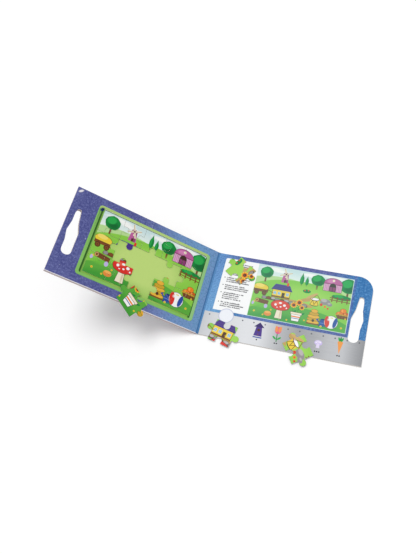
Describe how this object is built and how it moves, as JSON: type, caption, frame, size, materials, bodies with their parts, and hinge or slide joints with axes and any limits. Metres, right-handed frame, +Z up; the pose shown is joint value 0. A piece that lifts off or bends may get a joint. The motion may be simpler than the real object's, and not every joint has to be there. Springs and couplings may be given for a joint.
{
  "type": "magnetic jigsaw puzzle",
  "caption": "Folding board case with a hand slot in each panel: a recessed steel-backed tray and loose magnetic jigsaw pieces with a farmland picture.",
  "frame": {"origin": "middle of the cover's table face, half a panel width from the fold and half the panel depth from the near edge", "axes": "+X along the cover, away from the fold; +Y from the near edge to the far edge; +Z up from the table"},
  "size_m": [0.5074, 0.1792, 0.156],
  "materials": {
    "grey_board": "matte",
    "light_board": "matte",
    "printed_paper": "satin",
    "outer_paper": "satin",
    "green_paper": "satin",
    "base_paper": "satin",
    "piece_paper": "gloss",
    "tinplate": "satin",
    "flexible_magnet": "matte"
  },
  "bodies": {
    "cover": {"cover_board": "grey_board", "cover_inner_print": "printed_paper", "cover_outer_wrap": "outer_paper"},
    "spine": {"spine_lining": "printed_paper", "spine_wrap": "outer_paper"},
    "tray": {"tray_inner_print": "printed_paper", "tray_frame_board": "light_board", "tray_core_board": "light_board", "tray_back_board": "light_board", "tray_outer_wrap": "outer_paper", "tray_rim": "green_paper", "steel_sheet": "tinplate", "tray_base_print": "base_paper"},
    "piece_r1c1": {"piece_r1c1_print": "piece_paper", "piece_r1c1_magnet": "flexible_magnet"},
    "piece_r1c2": {"piece_r1c2_print": "piece_paper", "piece_r1c2_magnet": "flexible_magnet"},
    "piece_r1c3": {"piece_r1c3_print": "piece_paper", "piece_r1c3_magnet": "flexible_magnet"},
    "piece_r1c4": {"piece_r1c4_print": "piece_paper", "piece_r1c4_magnet": "flexible_magnet"},
    "piece_r1c5": {"piece_r1c5_print": "piece_paper", "piece_r1c5_magnet": "flexible_magnet"},
    "piece_r2c1": {"piece_r2c1_print": "piece_paper", "piece_r2c1_magnet": "flexible_magnet"},
    "piece_r2c2": {"piece_r2c2_print": "piece_paper", "piece_r2c2_magnet": "flexible_magnet"},
    "piece_r2c3": {"piece_r2c3_print": "piece_paper", "piece_r2c3_magnet": "flexible_magnet"},
    "piece_r2c4": {"piece_r2c4_print": "piece_paper", "piece_r2c4_magnet": "flexible_magnet"},
    "piece_r2c5": {"piece_r2c5_print": "piece_paper", "piece_r2c5_magnet": "flexible_magnet"},
    "piece_r3c1": {"piece_r3c1_print": "piece_paper", "piece_r3c1_magnet": "flexible_magnet"},
    "piece_r3c2": {"piece_r3c2_print": "piece_paper", "piece_r3c2_magnet": "flexible_magnet"},
    "piece_r3c3": {"piece_r3c3_print": "piece_paper", "piece_r3c3_magnet": "flexible_magnet"},
    "piece_r3c4": {"piece_r3c4_print": "piece_paper", "piece_r3c4_magnet": "flexible_magnet"},
    "piece_r3c5": {"piece_r3c5_print": "piece_paper", "piece_r3c5_magnet": "flexible_magnet"}
  },
  "joints": [
    {"name": "cover_crease", "type": "hinge", "parent": "cover", "child": "spine", "pos_m": [-0.13604, 0, 0.003], "axis": [0, -1, 0], "range_deg": [-73.1, 16.9]},
    {"name": "tray_crease", "type": "hinge", "parent": "spine", "child": "tray", "pos_m": [-0.13872, 0, 0.00381], "axis": [0, -1, 0], "range_deg": [-73.1, 16.9]},
    {"name": "piece_r1c1_lift", "type": "slide", "parent": "tray", "child": "piece_r1c1", "axis": [0.5563, 0, 0.831], "range_m": [0, 0.025]},
    {"name": "piece_r1c2_lift", "type": "slide", "parent": "tray", "child": "piece_r1c2", "axis": [0.5563, 0, 0.831], "range_m": [0, 0.025]},
    {"name": "piece_r1c3_lift", "type": "slide", "parent": "tray", "child": "piece_r1c3", "axis": [0.5563, 0, 0.831], "range_m": [0, 0.025]},
    {"name": "piece_r1c4_lift", "type": "slide", "parent": "tray", "child": "piece_r1c4", "axis": [0.5563, 0, 0.831], "range_m": [0, 0.025]},
    {"name": "piece_r1c5_lift", "type": "slide", "parent": "tray", "child": "piece_r1c5", "axis": [0.5563, 0, 0.831], "range_m": [0, 0.025]},
    {"name": "piece_r2c1_lift", "type": "slide", "parent": "tray", "child": "piece_r2c1", "axis": [0.5563, 0, 0.831], "range_m": [0, 0.025]},
    {"name": "piece_r2c2_lift", "type": "slide", "parent": "cover", "child": "piece_r2c2", "axis": [0, 0, 1], "range_m": [0, 0.025]},
    {"name": "piece_r2c3_lift", "type": "slide", "parent": "cover", "child": "piece_r2c3", "axis": [0, 0, 1], "range_m": [0, 0.025]},
    {"name": "piece_r2c4_lift", "type": "slide", "parent": "cover", "child": "piece_r2c4", "axis": [0, 0, 1], "range_m": [0, 0.025]},
    {"name": "piece_r2c5_lift", "type": "slide", "parent": "tray", "child": "piece_r2c5", "axis": [0.5563, 0, 0.831], "range_m": [0, 0.025]},
    {"name": "piece_r3c1_lift", "type": "slide", "parent": "tray", "child": "piece_r3c1", "axis": [0.5563, 0, 0.831], "range_m": [0, 0.025]},
    {"name": "piece_r3c2_lift", "type": "slide", "parent": "tray", "child": "piece_r3c2", "axis": [0.5563, 0, 0.831], "range_m": [0, 0.025]},
    {"name": "piece_r3c3_lift", "type": "slide", "parent": "piece_r3c2", "child": "piece_r3c3", "axis": [0.5563, 0, 0.831], "range_m": [0, 0.025]},
    {"name": "piece_r3c4_lift", "type": "slide", "parent": "tray", "child": "piece_r3c4", "axis": [0.5563, 0, 0.831], "range_m": [0, 0.025]},
    {"name": "piece_r3c5_lift", "type": "slide", "parent": "tray", "child": "piece_r3c5", "axis": [0.5563, 0, 0.831], "range_m": [0, 0.025]}
  ],
  "couplings": [
    {"joint": "cover_crease", "follows": "tray_crease", "ratio": 1}
  ]
}
